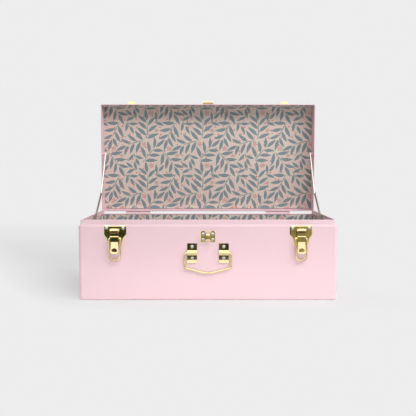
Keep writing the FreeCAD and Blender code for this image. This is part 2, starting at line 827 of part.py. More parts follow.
def keeper():
    """The lid's hook plate; the bail's round end drops behind its tongue."""
    half = keeper_width / 2
    low = lid_rim_z + keeper_lift
    high = low + keeper_height
    right = [(half, high, latch_corner), (half, low, latch_corner)]
    left = [(-x, z, radius) for x, z, radius in right[::-1]]
    plate = bordered_plate(right + left, keeper_sheet)
    wire_out = keeper_sheet + keeper_hook_gap + bail_radius
    drop = bail_pivot_out - wire_out
    wire_z = bail_pivot_z + math.sqrt(bail_length * bail_length - drop * drop)
    side = keeper_hook_width / 2
    fall = bail_leg_x - math.sqrt(bail_leg_x * bail_leg_x - side * side)
    crotch = wire_z - fall - bail_radius - keeper_crotch_gap + lever_sheet
    inner = wire_out + bail_radius + keeper_hook_gap
    outer = inner + latch_sheet
    top = crotch + keeper_hook_height
    path = [(keeper_sheet, crotch - latch_sheet, 0),
            (outer, crotch - latch_sheet, keeper_hook_bend + latch_sheet),
            (outer, top - keeper_hook_flare_rise, keeper_hook_bend), (outer + keeper_hook_flare, top, 0)]
    hook = strip(path, latch_sheet, keeper_hook_width)
    tongue = [(side, top, keeper_hook_round), (side, low, 0),
              (-side, low, 0), (-side, top, keeper_hook_round)]
    hook = hook.common(front_plate(tongue, outer + keeper_hook_flare + overrun))
    return fused([plate, hook])


def make_latches():
    plate = latch_plate()
    pin = lever_pin()
    handle_lever = lever()
    wire = bail()
    hook = keeper()
    heads = []
    lid_heads = []
    head_z = latch_top - latch_rivet_drop
    lid_head_z = lid_rim_z + keeper_lift + keeper_height / 2
    for name, x in (("left", -latch_x), ("right", latch_x)):
        save("latch_plate_" + name, moved_x(plate, x))
        save("latch_pin_" + name, moved_x(pin, x))
        save("latch_lever_" + name, moved_x(handle_lever, x))
        save("latch_bail_" + name, moved_x(wire, x))
        save("keeper_" + name, opened(moved_x(hook, x)))
        for side in (-1, 1):
            base = Vector(x + side * latch_rivet_spacing / 2, front_y - latch_sheet, head_z)
            heads.append(dome(base, Vector(0, -1, 0), rivet_radius, rivet_height))
            base = Vector(x + side * keeper_rivet_spacing / 2, front_y - keeper_sheet, lid_head_z)
            lid_heads.append(opened(dome(base, Vector(0, -1, 0), rivet_radius, rivet_height)))
    save("latch_rivets", heads)
    save("keeper_rivets", lid_heads)


# Centre hasp

def hasp_knuckle(first):
    """The barrel pieces of one leaf of the hasp's hinge."""
    radius = hasp_pin_radius + running_gap + hasp_sheet
    pitch = hasp_width / hasp_knuckles
    mine = []
    gaps = []
    for i in range(hasp_knuckles):
        start = -hasp_width / 2 + i * pitch
        own = (i % 2 == 0) == first
        margin = side_gap / 2 if own else -side_gap / 2
        low = Vector(start + margin, front_y - hasp_axis_out, hasp_axis_z)
        high = Vector(start + pitch - margin, front_y - hasp_axis_out, hasp_axis_z)
        if own:
            mine.append(cylinder(low, high, radius))
        else:
            gaps.append(cylinder(low, high, radius + side_gap))
    centre = Vector(0, front_y - hasp_axis_out, hasp_axis_z)
    reach = Vector(hasp_width, 0, 0)
    bore = cylinder(centre - reach, centre + reach, hasp_pin_radius + running_gap)
    return mine, gaps, bore


def make_hasp():
    radius = hasp_pin_radius + running_gap + hasp_sheet
    half = hasp_width / 2
    # Base leaf on the lid's front: a flat plate whose lower end curls out to the barrel.
    mine, gaps, bore = hasp_knuckle(True)
    root_z = hasp_axis_z + hasp_base_gap
    top_z = root_z + hasp_base_height
    path = [(0, top_z, 0), (0, root_z, hasp_sheet),
            (hasp_axis_out - hasp_pin_radius, hasp_axis_z + radius - hasp_sheet, 0)]
    base = strip(path, hasp_sheet, hasp_width)
    base = fused([base.cut(Part.makeCompound(gaps))] + mine).cut(bore)
    save("hasp_base", opened(base))
    # The leaf is drawn folded back over its base, as it lies when the lid is open.
    mine, gaps, bore = hasp_knuckle(False)
    end_z = hasp_axis_z + hasp_leaf_length
    corners = [(half, hasp_axis_z, 0), (half, end_z, hasp_leaf_corner),
               (-half, end_z, hasp_leaf_corner), (-half, hasp_axis_z, 0)]
    leaf = front_plate(corners, hasp_sheet, hasp_axis_out - hasp_sheet / 2)
    slot_x = staple_width / 2 + hasp_slot_gap
    slot_low = 2 * hasp_axis_z - staple_z - staple_height / 2 - hasp_slot_gap
    slot_high = slot_low + staple_height + 2 * hasp_slot_gap
    slot = [(slot_x, slot_low, hasp_slot_gap), (slot_x, slot_high, hasp_slot_gap),
            (-slot_x, slot_high, hasp_slot_gap), (-slot_x, slot_low, hasp_slot_gap)]
    leaf = leaf.cut(front_plate(slot, 2 * hasp_axis_out))
    leaf = fused([leaf.cut(Part.makeCompound(gaps))] + mine).cut(bore)
    save("hasp_leaf", opened(leaf))
    centre = Vector(0, front_y - hasp_axis_out, hasp_axis_z)
    end = Vector(half, 0, 0)
    save("hasp_pin", opened(cylinder(centre - end, centre + end, hasp_pin_radius)))
    heads = []
    for side in (-1, 1):
        base = Vector(side * hasp_rivet_spacing / 2, front_y - hasp_sheet, hasp_axis_z + hasp_rivet_lift)
        heads.append(opened(dome(base, Vector(0, -1, 0), rivet_radius, rivet_height)))
    save("hasp_rivets", heads)


def make_staple():
    wing = staple_plate_width / 2
    waist = staple_waist_width / 2
    tall = staple_plate_height / 2
    low = staple_waist_height / 2
    quarter = [(waist, low, 0), (waist, tall, staple_plate_corner), (wing, tall, staple_plate_corner)]
    right = quarter + [(x, -z, radius) for x, z, radius in quarter[::-1]]
    left = [(-x, z, radius) for x, z, radius in right[::-1]]
    corners = [(x, staple_z + z, radius) for x, z, radius in right + left]
    save("staple_plate", bordered_plate(corners, staple_plate_sheet))
    top = staple_z + staple_height / 2
    bottom = staple_z - staple_height / 2
    start = staple_plate_sheet
    path = [(start, top, 0), (staple_reach, top, staple_bend),
            (staple_reach, bottom, staple_bend), (start, bottom, 0)]
    save("staple", strip(path, -staple_sheet, staple_width))
    heads = []
    for x in (-staple_rivet_spacing_x / 2, staple_rivet_spacing_x / 2):
        for z in (-staple_rivet_spacing_z / 2, staple_rivet_spacing_z / 2):
            base = Vector(x, front_y - staple_plate_sheet, staple_z + z)
            heads.append(dome(base, Vector(0, -1, 0), rivet_radius, rivet_height))
    save("staple_rivets", heads)


# Carrying handle

def handle_bracket():
    """A strap with a round bulge that holds the handle's end, and a lip at its foot."""
    inner = handle_wire_radius + handle_wire_gap
    outer = inner + handle_strap_sheet
    crest = handle_axis_out + outer
    sheet_out = handle_strap_sheet
    above = handle_axis_z + outer
    below = handle_axis_z - outer
    foot = handle_axis_z - handle_strap_fall
    path = [(sheet_out, handle_axis_z + handle_strap_rise, 0), (sheet_out, above, handle_root_bend),
            (crest, above, outer), (crest, below, outer), (sheet_out, below, handle_root_bend),
            (sheet_out, foot + handle_lip_height, handle_lip_bend), (sheet_out + handle_lip_out, foot, 0)]
    return strip(path, -handle_strap_sheet, handle_strap_width)


def make_handle():
    leg_x = handle_width / 2
    end_x = handle_spacing / 2 - handle_strap_width / 2 + handle_end_inset
    corner_z = handle_axis_z - handle_corner_fall
    right = [(end_x, handle_axis_z, 0), (leg_x, handle_axis_z, handle_shoulder_bend),
             (leg_x, corner_z, handle_corner_bend)]
    left = [(-x, z, radius) for x, z, radius in right[::-1]]
    middle = [(0, handle_axis_z - handle_low_fall, handle_low_bend)]
    save("handle", tube(right + middle + left, facing(front_y - handle_axis_out), handle_wire_radius))
    bracket = handle_bracket()
    heads = []
    for name, x in (("left", -handle_spacing / 2), ("right", handle_spacing / 2)):
        save("handle_bracket_" + name, moved_x(bracket, x))
        for z in (handle_axis_z + handle_rivet_rise, handle_axis_z - handle_rivet_fall):
            base = Vector(x, front_y - handle_strap_sheet, z)
            heads.append(dome(base, Vector(0, -1, 0), rivet_radius, rivet_height))
    save("handle_rivets", heads)


# Lid stays, drawn on the right side

def knee_place():
    """Where the open knee lies: both links reach it, behind the line between their pivots."""
    lid_pivot = Vector(0, hinge_y + stay_lid_pivot_z - hinge_z, hinge_z + hinge_y - stay_lid_pivot_y)
    body_pivot = Vector(0, stay_body_pivot_y, stay_body_pivot_z)
    span = lid_pivot - body_pivot
    bow = math.sqrt(stay_link * stay_link - span.Length * span.Length / 4)
    middle = (lid_pivot + body_pivot) / 2
    aside = Vector(0, span.z, -span.y)
    aside.normalize()
    return lid_pivot, body_pivot, middle + aside * bow


def stay_post(wall_x, plane_x, y, z, head_x):
    """A post on a wall, its pin through a link and its head on the far side."""
    shoulder = Vector(plane_x + side_gap, y, z)
    wall = Vector(wall_x, y, z)
    head_end = Vector(head_x, y, z)
    link_end = head_end + Vector(stay_head, 0, 0)
    return fused([cylinder(shoulder, wall, stay_post_radius),
                  cylinder(link_end, shoulder, stay_pin_radius),
                  cylinder(head_end, link_end, stay_head_radius)])


def stay_strap(start, end, plane_x):
    """A flat link with round ends and a hole at its wall pivot; plane_x is its outer face."""
    along = end - start
    aside = Vector(0, -along.z, along.y)
    aside.normalize()
    aside = aside * (stay_link_width / 2)
    rim = [start + aside, end + aside, end - aside, start - aside, start + aside]
    face = Part.Face(Part.makePolygon(rim))
    back = Vector(-stay_link_sheet, 0, 0)
    pieces = [face.extrude(back)]
    for point in (start, end):
        pieces.append(cylinder(point, point + back, stay_link_width / 2))
    link = fused(pieces).translated(Vector(plane_x, 0, 0))
    hole_start = Vector(plane_x + overrun, start.y, start.z)
    hole = cylinder(hole_start, hole_start - Vector(2 * overrun, 0, 0), stay_pin_radius + running_gap)
    return link.cut(hole)


def make_stays():
    lid_pivot, body_pivot, knee = knee_place()
    lower_x = half_width - stay_plane_inset
    upper_x = lower_x - stay_link_sheet - stay_link_gap
    wall_x = half_width - sheet
    lower = stay_strap(body_pivot, knee, lower_x)
    flat_start = Vector(lower_x, knee.y, knee.z)
    flat_head = cylinder(flat_start, flat_start + Vector(stay_knee_head, 0, 0), stay_head_radius)
    lower = fused([lower, flat_head])
    upper = stay_strap(lid_pivot, knee, upper_x)
    inner_face = Vector(upper_x - stay_link_sheet, knee.y, knee.z)
    knee_head = dome(inner_face, Vector(-1, 0, 0), stay_head_radius, rivet_height)
    upper = fused([upper, knee_head])
    lower_head_x = lower_x - stay_link_sheet - side_gap - stay_head
    upper_head_x = upper_x - stay_link_sheet - side_gap - stay_head
    body_post = stay_post(wall_x, lower_x, body_pivot.y, body_pivot.z, lower_head_x)
    lid_post = stay_post(wall_x, upper_x, lid_pivot.y, lid_pivot.z, upper_head_x)
    pieces = {"stay_lower": lower, "stay_upper": upper,
              "stay_body_post": body_post, "stay_lid_post": lid_post}
    for name, piece in pieces.items():
        save(name + "_right", piece)
        save(name + "_left", mirrored_x(piece))


make_body()
make_body_lining()
make_lid()
make_hinges()
make_latches()
make_hasp()
make_staple()
make_handle()
make_stays()
print(len(nodes), "nodes")
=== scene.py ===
import bpy
import math
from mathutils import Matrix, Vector

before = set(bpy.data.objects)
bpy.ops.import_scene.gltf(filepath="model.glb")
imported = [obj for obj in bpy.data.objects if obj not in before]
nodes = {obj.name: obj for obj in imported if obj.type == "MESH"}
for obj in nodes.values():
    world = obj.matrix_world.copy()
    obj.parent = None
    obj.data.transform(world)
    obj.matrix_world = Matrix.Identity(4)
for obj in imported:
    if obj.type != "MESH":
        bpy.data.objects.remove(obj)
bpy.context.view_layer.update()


# The trunk's body: four walls of thin steel sheet with a stepped shoulder and a
# rolled rim, round corners and a flat floor pan, sprayed in satin pink enamel.

PINK = (0.905, 0.662, 0.712)
PINK_DEEP = (0.860, 0.606, 0.660)
TONE_RANGE = (0.3, 0.75)
TONE_SHARE = 0.16
ENAMEL_ROUGHNESS = 0.42
ROUGHNESS_RANGE = (0.2, 0.8)
ROUGHNESS_SPREAD = 0.04
ENAMEL_SPECULAR = 0.22
ENAMEL_COAT = 0.08
COAT_ROUGHNESS = 0.18
PEEL_SCALE = 420.0
PEEL_HEIGHT = 0.000012
PANEL_SCALE = 5.0
PANEL_HEIGHT = 0.00022


def new_group(name, inputs, outputs):
    """A shader node group with plain sockets; returns it with its two end nodes."""
    group = bpy.data.node_groups.new(name, "ShaderNodeTree")
    for label, kind, value in inputs:
        socket = group.interface.new_socket(name=label, in_out="INPUT", socket_type=kind)
        if value is not None:
            socket.default_value = value
    for label, kind in outputs:
        group.interface.new_socket(name=label, in_out="OUTPUT", socket_type=kind)
    start = group.nodes.new("NodeGroupInput")
    end = group.nodes.new("NodeGroupOutput")
    return group, start, end


def add(tree, kind, links=(), **settings):
    """One node with its settings, and links or values for its numbered or named inputs."""
    node = tree.nodes.new(kind)
    for name, value in settings.items():
        setattr(node, name, value)
    for key, value in dict(links).items():
        if isinstance(value, bpy.types.NodeSocket):
            tree.links.new(value, node.inputs[key])
        else:
            node.inputs[key].default_value = value
    return node


def math_of(tree, operation, *values):
    """A Math node's result from up to three values or links."""
    node = add(tree, "ShaderNodeMath", dict(enumerate(values)), operation=operation)
    return node.outputs[0]


def mixed(tree, share, first, second):
    """A colour between two colours."""
    node = tree.nodes.new("ShaderNodeMix")
    node.data_type = "RGBA"
    for key, value in ((0, share), (6, first), (7, second)):
        if isinstance(value, bpy.types.NodeSocket):
            tree.links.new(value, node.inputs[key])
        else:
            node.inputs[key].default_value = value if key == 0 else (*value, 1.0)
    return node.outputs[2]


def ranged(tree, value, low, high, to_low=0.0, to_high=1.0):
    """A value mapped and clamped from one range to another."""
    return add(tree, "ShaderNodeMapRange",
               {0: value, 1: low, 2: high, 3: to_low, 4: to_high}).outputs[0]


def new_material(name):
    """A material with its Principled shader, and the object's own coordinates in metres."""
    material = bpy.data.materials.new(name)
    material.use_nodes = True
    tree = material.node_tree
    shader = tree.nodes["Principled BSDF"]
    place = tree.nodes.new("ShaderNodeTexCoord").outputs["Object"]
    return material, tree, shader, place


def wear(names, material):
    """Gives CAD nodes their finish."""
    for name in names:
        slots = nodes[name].data.materials
        slots.clear()
        slots.append(material)


def fine_noise():
    """Noise at two scales: a slow one for tone and a fine one for the surface."""
    group, start, end = new_group(
        "fine_noise",
        [("Place", "NodeSocketVector", None), ("Slow Scale", "NodeSocketFloat", 5.0),
         ("Fine Scale", "NodeSocketFloat", 400.0), ("Slow Height", "NodeSocketFloat", 0.0),
         ("Fine Height", "NodeSocketFloat", 0.0)],
        [("Tone", "NodeSocketFloat"), ("Grain", "NodeSocketFloat"), ("Height", "NodeSocketFloat")])
    slow = add(group, "ShaderNodeTexNoise", {"Vector": start.outputs[0], "Scale": start.outputs[1],
                                             "Detail": 2.0})
    fine = add(group, "ShaderNodeTexNoise", {"Vector": start.outputs[0], "Scale": start.outputs[2],
                                             "Detail": 3.0})
    low = math_of(group, "MULTIPLY", slow.outputs[0], start.outputs[3])
    height = math_of(group, "MULTIPLY_ADD", fine.outputs[0], start.outputs[4], low)
    group.links.new(slow.outputs[0], end.inputs[0])
    group.links.new(fine.outputs[0], end.inputs[1])
    group.links.new(height, end.inputs[2])
    return group


NOISE = fine_noise()


def noise_node(tree, place, slow_scale, fine_scale, slow_height, fine_height):
    """Places the noise group in a material."""
    node = add(tree, "ShaderNodeGroup", node_tree=NOISE)
    tree.links.new(place, node.inputs[0])
    for i, value in enumerate((slow_scale, fine_scale, slow_height, fine_height)):
        node.inputs[i + 1].default_value = value
    return node


def bump_from(tree, shader, height, strength=1.0):
    """Feeds a height in metres to the shader's normal."""
    bump = add(tree, "ShaderNodeBump", {"Strength": strength, "Distance": 1.0, "Height": height})
    tree.links.new(bump.outputs[0], shader.inputs["Normal"])


def enamel():
    """Satin enamel on steel: faint orange peel, a slow wave in the sheet, soft gloss."""
    material, tree, shader, place = new_material("pink_enamel")
    noise = noise_node(tree, place, PANEL_SCALE, PEEL_SCALE, PANEL_HEIGHT, PEEL_HEIGHT)
    share = ranged(tree, noise.outputs["Tone"], *TONE_RANGE, 0.0, TONE_SHARE)
    tree.links.new(mixed(tree, share, PINK, PINK_DEEP), shader.inputs["Base Color"])
    rough = ranged(tree, noise.outputs["Grain"], *ROUGHNESS_RANGE,
                   ENAMEL_ROUGHNESS - ROUGHNESS_SPREAD, ENAMEL_ROUGHNESS + ROUGHNESS_SPREAD)
    tree.links.new(rough, shader.inputs["Roughness"])
    shader.inputs["Coat Weight"].default_value = ENAMEL_COAT
    shader.inputs["Coat Roughness"].default_value = COAT_ROUGHNESS
    shader.inputs["Specular IOR Level"].default_value = ENAMEL_SPECULAR
    bump_from(tree, shader, noise.outputs["Height"])
    return material


ENAMEL = enamel()
wear(["body_front", "body_back", "body_end_left", "body_end_right", "body_floor"], ENAMEL)


# The lining of the body: thin boards covered in printed cotton, one on each wall and
# one on the floor. The print is laurel sprigs with berries, on a dusty pink ground.

GROUND = (0.860, 0.678, 0.637)
LEAF = (0.186, 0.259, 0.302)
LEAF_VEIN = (0.410, 0.458, 0.464)
CREAM = (0.860, 0.775, 0.635)
PETAL = (0.690, 0.388, 0.388)
BERRY = (0.605, 0.184, 0.205)
REPEAT_WIDTH = 0.160
REPEAT_HEIGHT = 0.150
COTTON_ROUGHNESS = 0.88
COTTON_SPECULAR = 0.2
COTTON_SHEEN = 0.12
THREAD = 0.0011
THREAD_HEIGHT = 0.00012
WEAVE_STRENGTH = 0.6
WEAVE_SHADE_DARKEST = 0.86
WEAVE_SHADE_LIGHTEST = 1.06
FADE_SCALE = 38.0
FADE_RANGE = (0.3, 0.7)
FADE_SHARE = 0.12
FLECK_SCALE = 900.0
FLECK_RANGE = (0.35, 0.70)
FLECK_SHARE = 0.30
INK_SHARE = 0.85
STEM_HALF_WIDTH = 0.0013
STALK = 0.0012
LEAF_SPREAD = 0.90
TIP_CLOSING = 0.16
TIP_SHORTENING = 0.12
TIP_NARROWING = 0.08
LEAF_CURL = 0.0016
LEAF_SKEW = -0.28
LEAST_SKEW = 0.1
VEIN_PITCH = 0.0036
VEIN_SLANT = -1.1
VEIN_GAP = 0.45
VEIN_DEPTH = 0.0006
MIDRIB_HALF_WIDTH = 0.00035
OUTLINE = 0.0015
OUTLINE_SHARE = 0.9
SOFT_EDGE = 0.00025
DOT_PITCH = 0.0046
DOT_CORE = 0.20
DOT_EDGE = 0.30
DOT_SHARE = 0.75
DOT_SCATTER = 0.7
BERRY_PITCH = 0.0100
BERRY_SCATTER = 0.6
BERRY_RADIUS = 0.0023
BERRY_GAP = 0.0004
PETAL_COUNT = 5
PETAL_WIDTH_SHARE = 0.62
EYE_RADIUS = 0.0014


def vector_of(tree, operation, *values):
    """A Vector Math node's vector result."""
    node = add(tree, "ShaderNodeVectorMath", dict(enumerate(values)), operation=operation)
    return node.outputs[0]


def size_of(tree, operation, *values):
    """A Vector Math node's single result: a length or a dot product."""
    node = add(tree, "ShaderNodeVectorMath", dict(enumerate(values)), operation=operation)
    return node.outputs["Value"]


def wrapped(group, place, centre):
    """A place seen from the nearest repeat of a centre."""
    away = vector_of(group, "SUBTRACT", place, centre)
    high = (REPEAT_WIDTH / 2, REPEAT_HEIGHT / 2, 1.0)
    low = (-REPEAT_WIDTH / 2, -REPEAT_HEIGHT / 2, -1.0)
    return vector_of(group, "WRAP", away, high, low)


def printed_leaf():
    """One leaf or stem: how far inside its outline a place is, and inside its veins."""
    group, start, end = new_group(
        "printed_leaf",
        [("Place", "NodeSocketVector", None), ("Centre", "NodeSocketVector", None),
         ("Turn", "NodeSocketFloat", 0.0), ("Reach", "NodeSocketFloat", 0.015),
         ("Half Width", "NodeSocketFloat", 0.005), ("Bend", "NodeSocketFloat", 0.0)],
        [("Blade", "NodeSocketFloat"), ("Vein", "NodeSocketFloat")])
    near = wrapped(group, start.outputs[0], start.outputs[1])
    back = math_of(group, "MULTIPLY", start.outputs[2], -1.0)
    turned = add(group, "ShaderNodeVectorRotate", {"Vector": near, "Angle": back},
                 rotation_type="Z_AXIS")
    parts = add(group, "ShaderNodeSeparateXYZ", {0: turned.outputs[0]})
    along = math_of(group, "DIVIDE", parts.outputs[0], start.outputs[3])
    square = math_of(group, "MULTIPLY", along, along)
    sag = math_of(group, "MULTIPLY", square, start.outputs[5])
    side = math_of(group, "ABSOLUTE", math_of(group, "SUBTRACT", parts.outputs[1], sag))
    lens = math_of(group, "SUBTRACT", 1.0, square)
    lean = math_of(group, "MULTIPLY_ADD", along, LEAF_SKEW, 1.0)
    skew = math_of(group, "MAXIMUM", lean, LEAST_SKEW)
    width = math_of(group, "MULTIPLY", math_of(group, "MULTIPLY", lens, skew), start.outputs[4])
    blade = math_of(group, "SUBTRACT", width, side)
    slant = math_of(group, "MULTIPLY_ADD", side, VEIN_SLANT, parts.outputs[0])
    wave = math_of(group, "COSINE", math_of(group, "MULTIPLY", slant, 2.0 * math.pi / VEIN_PITCH))
    ribs = math_of(group, "MULTIPLY", math_of(group, "SUBTRACT", wave, VEIN_GAP), VEIN_DEPTH)
    midrib = math_of(group, "SUBTRACT", MIDRIB_HALF_WIDTH, side)
    inside = math_of(group, "SUBTRACT", blade, VEIN_DEPTH)
    vein = math_of(group, "MINIMUM", inside, math_of(group, "MAXIMUM", ribs, midrib))
    group.links.new(blade, end.inputs[0])
    group.links.new(vein, end.inputs[1])
    return group


def sprig(x, y, turn, bend, length, leaf_reach, leaf_width, pairs, start, stagger):
    """One sprig's stem, pairs of leaves and end leaf: x, y, turn, reach, half width, bend."""
    places = [(x, y, turn, length / 2, STEM_HALF_WIDTH, bend)]
    direction = Vector((math.cos(turn), math.sin(turn)))
    normal = Vector((-direction.y, direction.x))
    for i in range(pairs):
        t = start - 2.0 * start * i / max(pairs - 1, 1)
        for side in (-1, 1):
            s = t + stagger * side
            base = Vector((x, y)) + direction * (s * length / 2) + normal * (bend * s * s)
            slope = math.atan2(2 * bend * s, length / 2)
            angle = turn + slope + side * (LEAF_SPREAD - TIP_CLOSING * t)
            size = leaf_reach * (1.0 - TIP_SHORTENING * t)
            width = leaf_width * (1.0 - TIP_NARROWING * t)
            middle = base + Vector((math.cos(angle), math.sin(angle))) * (size + STALK)
            places.append((middle.x, middle.y, angle, size, width, side * LEAF_CURL))
    tip_slope = math.atan2(2 * bend, length / 2)
    angle = turn + tip_slope
    tip = Vector((x, y)) + direction * (length / 2) + normal * bend
    middle = tip + Vector((math.cos(angle), math.sin(angle))) * leaf_reach
    places.append((middle.x, middle.y, angle, leaf_reach, leaf_width, 0.0))
    return places


def printed_blossom():
    """A blossom folded round its centre: how far inside a petal or its eye a place is."""
    group, start, end = new_group(
        "printed_blossom",
        [("Place", "NodeSocketVector", None), ("Centre", "NodeSocketVector", None),
         ("Turn", "NodeSocketFloat", 0.0), ("Reach", "NodeSocketFloat", 0.0035)],
        [("Petal", "NodeSocketFloat"), ("Eye", "NodeSocketFloat")])
    near = wrapped(group, start.outputs[0], start.outputs[1])
    parts = add(group, "ShaderNodeSeparateXYZ", {0: near})
    away = size_of(group, "LENGTH", near)
    bearing = math_of(group, "ARCTAN2", parts.outputs[1], parts.outputs[0])
    angle = math_of(group, "SUBTRACT", bearing, start.outputs[2])
    folded = math_of(group, "WRAP", angle, math.pi / PETAL_COUNT, -math.pi / PETAL_COUNT)
    middle = math_of(group, "ADD", start.outputs[3], EYE_RADIUS)
    outward = math_of(group, "MULTIPLY", away, math_of(group, "COSINE", folded))
    sideways = math_of(group, "MULTIPLY", away, math_of(group, "SINE", folded))
    side = math_of(group, "ABSOLUTE", sideways)
    past_middle = math_of(group, "SUBTRACT", outward, middle)
    along = math_of(group, "DIVIDE", past_middle, start.outputs[3])
    lens = math_of(group, "SUBTRACT", 1.0, math_of(group, "MULTIPLY", along, along))
    plump = math_of(group, "MULTIPLY", lens, PETAL_WIDTH_SHARE)
    width = math_of(group, "MULTIPLY", plump, start.outputs[3])
    group.links.new(math_of(group, "SUBTRACT", width, side), end.inputs[0])
    group.links.new(math_of(group, "SUBTRACT", EYE_RADIUS, away), end.inputs[1])
    return group


# Each sprig is at x, y with a turn and a bend; each blossom at x, y with a turn and a reach.
LONG_SPRIGS = ((0.0472, 0.1329, -0.9, -0.0025), (0.053, 0.0637, -2.04, 0.0025),
               (0.1501, 0.1458, 0.87, -0.0025), (0.1106, 0.0293, -2.87, 0.0025),
               (0.1454, 0.0634, 1.53, 0.0025))
SHORT_SPRIGS = ((0.1077, 0.1411, -1.28, 0.00075), (0.1089, 0.1016, 2.64, -0.00075),
                (0.0114, 0.0893, 0.69, 0.00075), (0.0914, 0.0827, -0.93, -0.00075))
BLOSSOMS = ((0.1565, 0.1125, 0.6, 0.0036), (0.1355, 0.024, 1.2, 0.0036),
            (0.048, 0.0115, 0.2, 0.0036), (0.0115, 0.0625, 1.2, 0.003),
            (0.071, 0.141, 0.4, 0.0028))
LEAVES = []
for place in LONG_SPRIGS:
    LEAVES += sprig(*place, length=0.056, leaf_reach=0.0172, leaf_width=0.0047,
                    pairs=3, start=-0.66, stagger=0.14)
for place in SHORT_SPRIGS:
    LEAVES += sprig(*place, length=0.016, leaf_reach=0.0128, leaf_width=0.0040,
                    pairs=1, start=-0.20, stagger=0.30)


def larger(tree, first, second):
    """The larger of two values, or the second alone where there is no first yet."""
    return second if first is None else math_of(tree, "MAXIMUM", first, second)


def laurel_print():
    """The whole print, its weave and the weave's painted shade, from a flat place on the cloth in
    metres.
    """
    group, start, end = new_group(
        "laurel_print", [("Place", "NodeSocketVector", None)],
        [("Colour", "NodeSocketColor"), ("Height", "NodeSocketFloat")])
    place = start.outputs[0]
    leaf_group = printed_leaf()
    blade = None
    vein = None
    for x, y, turn, reach, half_width, bend in LEAVES:
        leaf = add(group, "ShaderNodeGroup", node_tree=leaf_group)
        group.links.new(place, leaf.inputs[0])
        leaf.inputs[1].default_value = (x, y, 0.0)
        for i, value in enumerate((turn, reach, half_width, bend)):
            leaf.inputs[i + 2].default_value = value
        blade = larger(group, blade, leaf.outputs[0])
        vein = larger(group, vein, leaf.outputs[1])
    blossom_group = printed_blossom()
    petal = None
    eye = None
    for x, y, turn, reach in BLOSSOMS:
        blossom = add(group, "ShaderNodeGroup", node_tree=blossom_group)
        group.links.new(place, blossom.inputs[0])
        blossom.inputs[1].default_value = (x, y, 0.0)
        blossom.inputs[2].default_value = turn
        blossom.inputs[3].default_value = reach
        petal = larger(group, petal, blossom.outputs[0])
        eye = larger(group, eye, blossom.outputs[1])
    outer = math_of(group, "MAXIMUM", blade, petal)
    scattered = add(group, "ShaderNodeTexVoronoi",
                    {"Vector": place, "Scale": 1.0 / BERRY_PITCH, "Randomness": BERRY_SCATTER})
    round_berry = math_of(group, "MULTIPLY_ADD", scattered.outputs["Distance"],
                          -BERRY_PITCH, BERRY_RADIUS)
    clear = math_of(group, "SUBTRACT", -BERRY_GAP, outer)
    berry = math_of(group, "MAXIMUM", math_of(group, "MINIMUM", round_berry, clear), eye)
    flecks = add(group, "ShaderNodeTexNoise",
                 {"Vector": place, "Scale": FLECK_SCALE, "Detail": 2.0})
    tone = add(group, "ShaderNodeTexNoise", {"Vector": place, "Scale": FADE_SCALE, "Detail": 3.0})
    dots = add(group, "ShaderNodeTexVoronoi",
               {"Vector": place, "Scale": 1.0 / DOT_PITCH, "Randomness": DOT_SCATTER})
    faded = ranged(group, tone.outputs[0], *FADE_RANGE, 0.0, FADE_SHARE)
    flecked = ranged(group, flecks.outputs[0], *FLECK_RANGE, 0.0, FLECK_SHARE)
    dotted = ranged(group, dots.outputs["Distance"], DOT_CORE, DOT_EDGE, DOT_SHARE, 0.0)
    outlined = ranged(group, outer, -OUTLINE - SOFT_EDGE, -OUTLINE + SOFT_EDGE, 0.0, OUTLINE_SHARE)
    ground = mixed(group, faded, GROUND, LEAF_VEIN)
    ground = mixed(group, flecked, ground, CREAM)
    ground = mixed(group, dotted, ground, CREAM)
    ground = mixed(group, outlined, ground, CREAM)
    petalled = mixed(group, ranged(group, petal, -SOFT_EDGE, SOFT_EDGE), ground, PETAL)
    leafy = mixed(group, ranged(group, blade, -SOFT_EDGE, SOFT_EDGE), petalled, LEAF)
    inked = ranged(group, vein, -SOFT_EDGE, SOFT_EDGE, 0.0, INK_SHARE)
    veined = mixed(group, inked, leafy, LEAF_VEIN)
    inked = ranged(group, berry, -SOFT_EDGE, SOFT_EDGE, 0.0, INK_SHARE)
    berried = mixed(group, inked, veined, BERRY)
    # The weave: thread crowns painted lighter and the gaps between them darker, a painted shade
    # that follows the bump.
    parts = add(group, "ShaderNodeSeparateXYZ", {0: place})
    waves = [math_of(group, "SINE", math_of(group, "MULTIPLY", parts.outputs[i],
                                            2.0 * math.pi / THREAD)) for i in range(2)]
    weave = math_of(group, "MULTIPLY", waves[0], waves[1])
    shade = ranged(group, weave, -1.0, 1.0, WEAVE_SHADE_DARKEST, WEAVE_SHADE_LIGHTEST)
    height = math_of(group, "MULTIPLY", weave, THREAD_HEIGHT)
    group.links.new(vector_of(group, "MULTIPLY", berried, shade), end.inputs[0])
    group.links.new(height, end.inputs[1])
    return group


PRINT = laurel_print()


def printed_cotton(name, across, along):
    """Printed cotton whose print runs by two directions of the object's own space."""
    material, tree, shader, place = new_material(name)
    flat = add(tree, "ShaderNodeCombineXYZ", {0: size_of(tree, "DOT_PRODUCT", place, across),
                                              1: size_of(tree, "DOT_PRODUCT", place, along)})
    cloth = add(tree, "ShaderNodeGroup", node_tree=PRINT)
    tree.links.new(flat.outputs[0], cloth.inputs[0])
    tree.links.new(cloth.outputs[0], shader.inputs["Base Color"])
    shader.inputs["Roughness"].default_value = COTTON_ROUGHNESS
    shader.inputs["Specular IOR Level"].default_value = COTTON_SPECULAR
    shader.inputs["Sheen Weight"].default_value = COTTON_SHEEN
    bump_from(tree, shader, cloth.outputs[1], WEAVE_STRENGTH)
    return material


wear(["lining_front", "lining_back"], printed_cotton("cotton_long_walls", (1, 0, 0), (0, 0, 1)))
wear(["lining_left", "lining_right"], printed_cotton("cotton_end_walls", (0, 1, 0), (0, 0, 1)))
wear(["lining_floor"], printed_cotton("cotton_floor", (1, 0, 0), (0, 1, 0)))


# The lid: a steel shell folded over front, top and back, with a pressed panel at each
# end. Its inside is lined with the same cotton, glued over one bent board.

